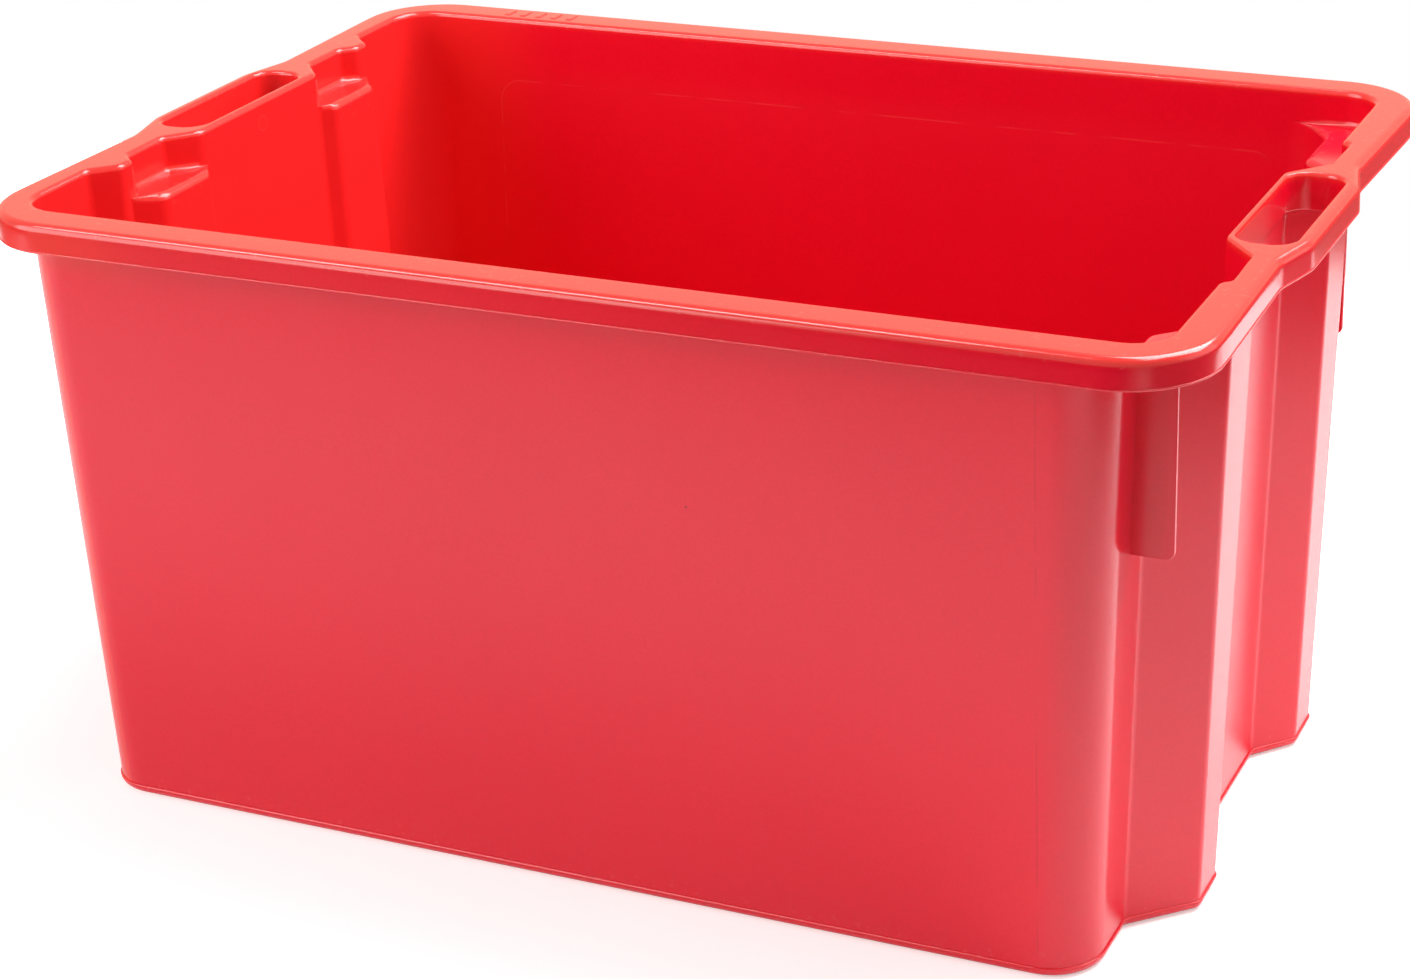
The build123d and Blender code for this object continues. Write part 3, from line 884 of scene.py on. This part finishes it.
# %% [markdown]
# ## Red moulded plastic
#
# The finish is satin: glossy enough to mirror the paper it stands on as a soft pale band. The walls have a
# fine etched grain, and the rim, which hands and other crates rub, is smoother. The colour clouds very
# slightly where the melt flowed, and the edges carry small pale nicks. The rim's top and the inside of the
# left end are painted a shade more orange: a painted highlight on the rim's top, and a painted glow of
# light shining through the left end. The patterns read Object coordinates, which are metres here, so a
# scale of 600 means under two millimetres. Each range below is where a change starts and where it is
# complete.

# %% Colours and patterns of the plastic
plastic_red = (0.72, 0.0040, 0.0220, 1.0)
plastic_deep = (0.67, 0.0026, 0.0190, 1.0)
plastic_pale = (0.80, 0.105, 0.105, 1.0)
plastic_dark = (0.30, 0.0010, 0.0080, 1.0)
# painted light: a more orange red for the painted highlight on the rim's top and the painted glow inside
# the left end
painted_light_orange = (0.74, 0.0190, 0.0180, 1.0)
plastic_ior = 1.5

polish_range = (rim_top - 0.040, rim_top - 0.020)
# where the painted highlight on the rim's top and the painted glow inside the left end lie
painted_rim_light_range = (rim_top - 0.0055, rim_top - 0.0015)
painted_left_glow_range = (0.200, column_reach)
outer_skin = (side_reach - 0.6 * wall, side_reach - 0.4 * wall)
inner_skin = (side_reach - 2.0 * wall, side_reach - 1.6 * wall)
front_range = (0.5 * side_reach, 0.6 * side_reach)
recess_inside = (recess_reach - wall, recess_reach)
recess_outside = (recess_top, recess_top + wall)

cloud_scale = 5.0
cloud_detail = 3.0
cloud_range = (0.30, 0.75)
cloud_share = 0.55
fine_detail = 2.0
grain_scale = 620.0
grain_range = (0.35, 0.65)
grain_share = 0.45
grain_height = 0.00008
grain_strength = 0.10
patch_scale = 40.0
patch_range = (0.40, 0.60)
streak_scale = 60.0
streak_shape = (1.0, 1.0, 0.06)
nick_scale = 260.0
nick_range = (0.60, 0.74)
edge_range = (0.60, 1.0)
nick_share = 0.20
# how far the painted highlight and the painted glow move the colour towards orange
painted_light_share = 0.9

wall_roughness = 0.22
streak_roughness = 0.04
polish_roughness = 0.07
nick_roughness = 0.05
print("roughness", wall_roughness, "on the walls, less", polish_roughness, "on the rim")

# %% [markdown]
# The mould leaves marks as well: an upright line on the long walls where a slide meets the corner, the
# outline of an insert on the inside of the long walls, and the ring of an ejector pin over the left
# recess. Each is a thin band where the distance from a drawn line is small. A dark speck on the front wall
# is a disc made in the same way. All of it is one material, because the crate is one moulding.

# %% The crate's plastic
line_width = 0.0006
line_core = 0.25
slide_line_x = 0.245
slide_share = 0.30
insert_half = 0.246
insert_top = 0.301
insert_corner = 0.014
insert_share = 0.25
insert_relief = 0.5
pin_y = 0.0
pin_z = 0.3270
pin_radius = 0.0042
pin_line_width = 0.0005
pin_share = 0.20
speck_x = 0.0676
speck_z = 0.2269
speck_radius = 0.0009
speck_core = 0.5


def plastic(name):
    """Satin red: cloudy colour, fine grain, a smoother rim, pale nicks on edges, the mould's lines and
    painted light.
    """
    material = bpy.data.materials.new(name)
    material.use_nodes = True
    tree = material.node_tree
    shader = tree.nodes["Principled BSDF"]
    start = Value(tree)
    place = start.node("ShaderNodeTexCoord", output="Object")
    x, y, z = (start.node("ShaderNodeSeparateXYZ", {}, {"Vector": place}, axis) for axis in "XYZ")

    def noise(scale, detail=fine_detail, shape=(1.0, 1.0, 1.0)):
        spot = start.node("ShaderNodeMapping", {}, {"Vector": place, "Scale": shape})
        return start.node("ShaderNodeTexNoise", {}, {"Vector": spot, "Scale": scale, "Detail": detail})

    def length(across, up):
        """Length of a vector from its two parts: the root of the sum of their squares."""
        return start.maths("SQRT", across * across + up * up)

    def band(distance, width):
        """1 on a line, falling to 0 at a width on both sides of it."""
        return 1 - distance.size().above(line_core * width, width)

    def insert_edge():
        """Distance from a rectangle with round upper corners, measured from the arc outside a corner."""
        across = x.size() - (insert_half - insert_corner)
        up = z - (insert_top - insert_corner)
        outside = length(start.maths("MAXIMUM", across, 0.0), start.maths("MAXIMUM", up, 0.0))
        inside = start.maths("MINIMUM", start.maths("MAXIMUM", across, up), 0.0)
        return outside + inside - insert_corner

    polish = z.above(*polish_range)
    side = y.size() - z * draft
    leftwards = 0 - x
    outer_side = side.above(*outer_skin)
    long_outside = outer_side * (1 - polish)
    long_inside = side.above(*inner_skin) - outer_side
    front_outside = (0 - y).above(*front_range) * long_outside
    left_inside = leftwards.above(*recess_inside) * (1 - leftwards.above(*recess_outside))

    clouds = noise(cloud_scale, cloud_detail)
    grain = noise(grain_scale)
    broken = noise(patch_scale).above(*patch_range)
    streaks = noise(streak_scale, shape=streak_shape)
    edge = start.node("ShaderNodeAttribute", {"attribute_name": "edge"}, output="Fac")
    nicks = noise(nick_scale).above(*nick_range) * edge.above(*edge_range) * nick_share
    slide_line = band(x - slide_line_x, line_width) * long_outside
    insert_line = band(insert_edge(), line_width) * long_inside
    pin_line = band(length(y - pin_y, z - pin_z) - pin_radius, pin_line_width) * left_inside
    from_speck = length(x - speck_x, z - speck_z)
    speck = (1 - from_speck.above(speck_core * speck_radius, speck_radius)) * front_outside

    mottle = clouds.above(*cloud_range) * cloud_share + grain.above(*grain_range) * grain_share
    body = mottle.mixed(plastic_deep, plastic_red)
    # Painted light: the rim's top turns orange as a painted highlight, and the inside of the left end as a
    # painted glow of light shining through the wall.
    painted_left_glow = leftwards.above(*painted_left_glow_range) * (1 - long_outside)
    painted_light = start.maths("MAXIMUM", z.above(*painted_rim_light_range), painted_left_glow)
    body_and_painted_light = (painted_light * painted_light_share).mixed(body, painted_light_orange)
    pale_marks = nicks + insert_line * broken * insert_share + pin_line * pin_share
    dark_marks = slide_line * broken * slide_share + speck
    colour = dark_marks.mixed(pale_marks.mixed(body_and_painted_light, plastic_pale), plastic_dark)
    satin = wall_roughness + streaks * streak_roughness - polish * polish_roughness
    roughness = satin + nicks * nick_roughness
    relief = (1 - polish) * grain + insert_line * insert_relief + pin_line - slide_line
    grained = {"Strength": grain_strength, "Distance": grain_height, "Height": relief}
    bump = start.node("ShaderNodeBump", {}, grained)
    tree.links.new(colour.socket, shader.inputs["Base Color"])
    tree.links.new(roughness.socket, shader.inputs["Roughness"])
    tree.links.new(bump.socket, shader.inputs["Normal"])
    shader.inputs["IOR"].default_value = plastic_ior
    return material


red_plastic = plastic("red_satin_plastic")
pieces = [shell, rim_bars, *stop_pieces]
for piece in pieces:
    piece.data.materials.append(red_plastic)
print("plastic on", len(pieces), "pieces")

# %% [markdown]
# ## Floor, light and camera
#
# The crate stands on a sheet of pale paper. The photograph is a cut-out on white, so the paper glows a
# little to the camera, and more towards its edge, until only a soft shadow near the crate is left. A white
# plane without glow would come out grey. The plastic mirrors the paper too, at a lower level: the front and
# the feet show it as a pale band.

# %% Paper floor
paper_left, paper_right, paper_near, paper_far = -1.25, 0.85, -0.88, 0.85
paper_level = -0.0003  # a hair under the base, so that two faces never share a plane
paper_corners = [
    (paper_left, paper_near, paper_level),
    (paper_right, paper_near, paper_level),
    (paper_right, paper_far, paper_level),
    (paper_left, paper_far, paper_level),
]
floor_mesh = bpy.data.meshes.new("studio_floor")
floor_mesh.from_pydata(paper_corners, [], [(0, 1, 2, 3)])
floor = bpy.data.objects.new("studio_floor", floor_mesh)
bpy.context.scene.collection.objects.link(floor)


def rays(tree):
    """Three values, each 1 for its kind of ray: the camera's own, mirrored ones and refracted ones."""
    kinds = ["Is Camera Ray", "Is Glossy Ray", "Is Transmission Ray"]
    return [Value(tree).node("ShaderNodeLightPath", output=kind) for kind in kinds]


paper_colour = (0.90, 0.90, 0.90, 1.0)
paper_glow = 0.30
paper_white = 0.42
paper_range = (0.50, 0.95)  # distances from the crate's middle between which the glow grows to full white
paper = bpy.data.materials.new("white_paper")
paper.use_nodes = True
paper_shader = paper.node_tree.nodes["Principled BSDF"]
paper_shader.inputs["Base Color"].default_value = paper_colour
paper_shader.inputs["Roughness"].default_value = 1.0
paper_shader.inputs["Specular IOR Level"].default_value = 0.0
paper_shader.inputs["Emission Strength"].default_value = 1.0
straight, mirrored, refracted = rays(paper.node_tree)
start = Value(paper.node_tree)
spot = start.node("ShaderNodeTexCoord", output="Object")
away = start.node("ShaderNodeVectorMath", {"operation": "LENGTH"}, {0: spot}, "Value")
fading = paper_white + away.above(*paper_range) * (1 - paper_white)
glow = straight * fading + (mirrored + refracted) * paper_glow
paper.node_tree.links.new(glow.socket, paper_shader.inputs["Emission Color"])
paper.cycles.emission_sampling = "NONE"
floor_mesh.materials.append(paper)
print("paper from x", paper_left, "to", paper_right, "and from y", paper_near, "to", paper_far)

# %% [markdown]
# Round the paper there is an even white sky. In its place the plastic mirrors a room: a warm ceiling over
# the horizon, and under it, past the paper's edge, dim surroundings. Straight in front they are dark, and
# to both sides of that they are lighter, which is why the skirt and the right end have dark and light
# bands. The Light Path node tells mirrored rays from the camera's own. A built room would do it too, but it
# would stand in the way of other views.

# %% Sky
sky_level = 0.28
room_level = 0.22
front_level = 0.90
ahead_range = (0.55, 0.75)
aside_range = (0.25, 0.65)
horizon_range = (-0.04, 0.02)
plain_white = (1.0, 1.0, 1.0, 1.0)
warm_white = (1.0, 0.96, 0.70, 1.0)
sky = bpy.data.worlds.new("white_studio")
sky.use_nodes = True
sky_shader = sky.node_tree.nodes["Background"]
straight, mirrored, refracted = rays(sky.node_tree)
start = Value(sky.node_tree)
direction = start.node("ShaderNodeTexCoord", output="Generated")
sideways, forward, upward = (
    start.node("ShaderNodeSeparateXYZ", {}, {"Vector": direction}, axis) for axis in "XYZ"
)
ahead = (0 - forward).above(*ahead_range)
room = room_level * (1 - ahead) + ahead * sideways.size().above(*aside_range) * front_level
over_horizon = upward.above(*horizon_range)
shown = straight + refracted + mirrored * (room + over_horizon * (1 - room))
falling = (1 - straight - mirrored - refracted) * sky_level
tint = mirrored.mixed(plain_white, warm_white)
sky.node_tree.links.new(tint.socket, sky_shader.inputs["Color"])
sky.node_tree.links.new((shown + falling).socket, sky_shader.inputs["Strength"])
bpy.context.scene.world = sky
print("sky", sky.name, "lights the crate at", sky_level)

# %% [markdown]
# Three of the five lights hang overhead. One behind the crate reaches the inside of the left end, and a
# small one makes the streak on the near right corner. The third, a strip, is seen only in reflections and
# draws the white line along the front rim. A large light at the front left and a weaker one at the right
# fill in the outside. Large lights give soft edges, as a studio's do.

# %% Lights
def soft_light(name, place, aim, size, power):
    """A rectangular area light at a place, turned to face a point."""
    lamp = bpy.data.lights.new(name, "AREA")
    lamp.shape = "RECTANGLE"
    lamp.size, lamp.size_y = size
    lamp.energy = power
    stand = bpy.data.objects.new(name, lamp)
    bpy.context.scene.collection.objects.link(stand)
    stand.location = place
    stand.rotation_euler = (Vector(aim) - Vector(place)).to_track_quat("-Z", "Y").to_euler()
    return stand


lights = [
    soft_light("overhead_rear", (0.60, 0.60, 1.60), (-0.1, 0.0, 0.3), (1.2, 1.2), 55.0),
    soft_light("overhead_right", (0.75, -0.25, 1.70), (0.0, 0.0, 0.25), (0.35, 0.25), 2.2),
    soft_light("overhead_strip", (-0.76, -0.62, 1.65), (-0.76, 0.0, 0.25), (1.1, 0.3), 17.0),
    soft_light("front_left", (-1.55, -1.65, 1.05), (0.0, 0.0, 0.2), (2.0, 1.5), 44.0),
    soft_light("right_side", (2.00, 0.60, 0.80), (0.3, 0.0, 0.2), (1.8, 1.4), 8.5),
]
lights_by_name = {lamp.name: lamp for lamp in lights}
lights_by_name["overhead_strip"].visible_diffuse = False
print("lights", [lamp.name for lamp in lights])

# %% [markdown]
# The camera was worked out from straight edges of the crate in the photograph, with the crate's sizes held.
# It stands in front and to the right, above the rim, with a portrait lens, and it is tilted a little.
# The picture is cropped, so the lens's axis is not in its middle, which the shift gives.

# %% Camera
picture = (1410, 979)
focal_pixels = 3160.46
axis_pixel = (740.0, 420.0)
azimuth, elevation, roll = np.radians([24.6245, 22.0216, -1.8382])
camera_place = np.array([0.67427, -1.46299, 0.83587])

backward = np.array(
    [np.sin(azimuth) * np.cos(elevation), -np.cos(azimuth) * np.cos(elevation), np.sin(elevation)]
)
level_right = np.array([np.cos(azimuth), np.sin(azimuth), 0.0])
level_up = np.cross(backward, level_right)
right = np.cos(roll) * level_right + np.sin(roll) * level_up
up = np.cos(roll) * level_up - np.sin(roll) * level_right

lens = bpy.data.cameras.new("photo_camera")
lens.sensor_width = 36.0
lens.lens = focal_pixels / picture[0] * lens.sensor_width
lens.shift_x = (picture[0] / 2 - axis_pixel[0]) / picture[0]
lens.shift_y = (axis_pixel[1] - picture[1] / 2) / picture[0]
camera = bpy.data.objects.new("photo_camera", lens)
bpy.context.scene.collection.objects.link(camera)
turned = np.eye(4)
turned[:3] = np.stack([right, up, backward, camera_place], axis=1)
camera.matrix_world = Matrix(turned.tolist())
bpy.context.scene.camera = camera
bpy.context.scene.view_settings.view_transform = "Standard"
print("lens", round(lens.lens, 1), "mm, shift", round(lens.shift_x, 4), round(lens.shift_y, 4))

# %% [markdown]
# Only the bead under the skirt and the small bars stand past the CAD box, by about half a millimetre.
